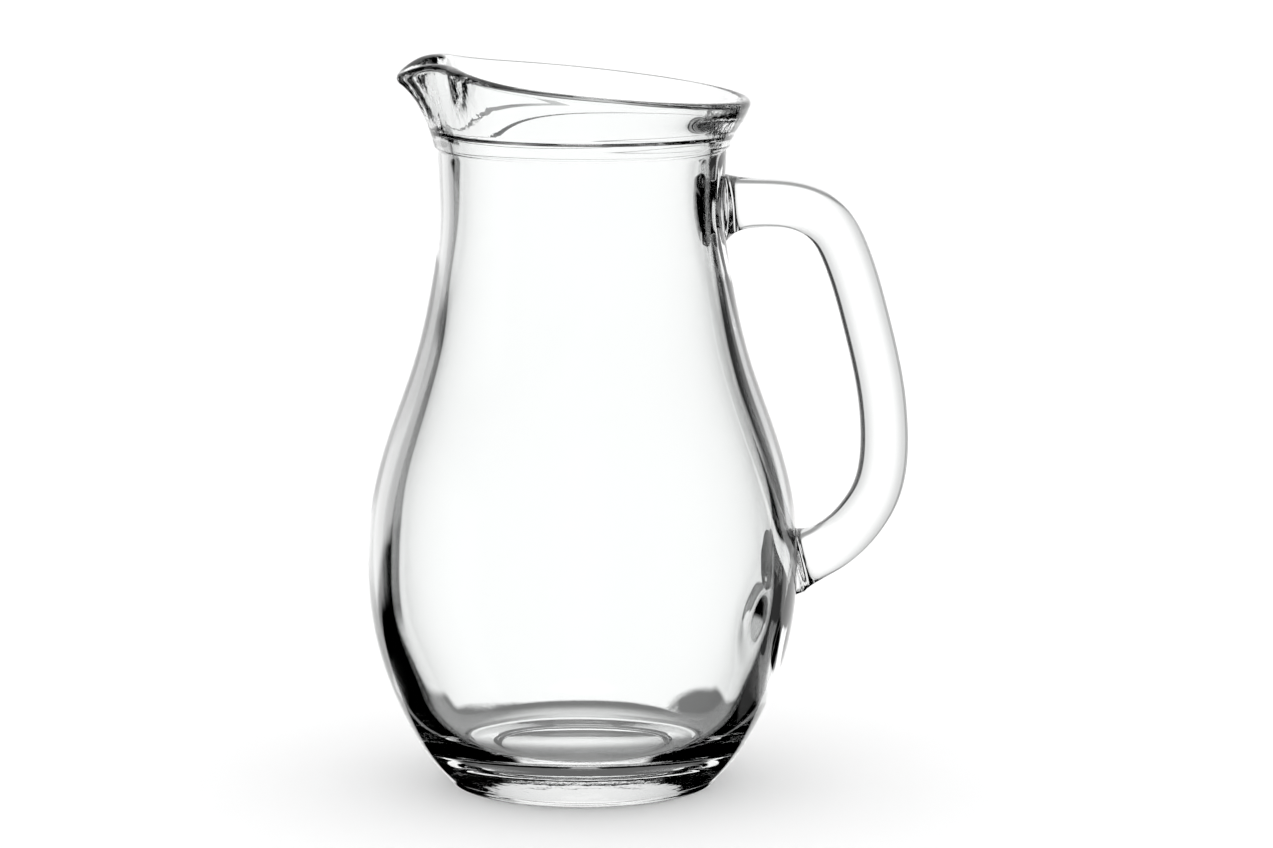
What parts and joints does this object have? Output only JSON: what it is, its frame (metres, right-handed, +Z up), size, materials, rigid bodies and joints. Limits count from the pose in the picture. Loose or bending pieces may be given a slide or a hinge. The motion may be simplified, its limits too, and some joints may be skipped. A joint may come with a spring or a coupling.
{
  "type": "glass water jug",
  "caption": "Round-bellied clear glass water jug with a narrow neck, a flared collar with a pouring spout, and a solid side handle.",
  "frame": {"origin": "middle of the base, on the plane the jug stands on, on the vessel's axis", "axes": "+Z up along the vessel's axis, +X towards the handle, so the spout points to -X and XZ is the mirror plane"},
  "size_m": [0.1864, 0.147, 0.2493],
  "materials": {
    "vessel_glass": "clear, fire-polished, slightly wavy inside",
    "handle_glass": "clear, fire-polished solid rod"
  },
  "bodies": {
    "root": {"vessel": "vessel_glass", "handle": "handle_glass"}
  },
  "joints": []
}
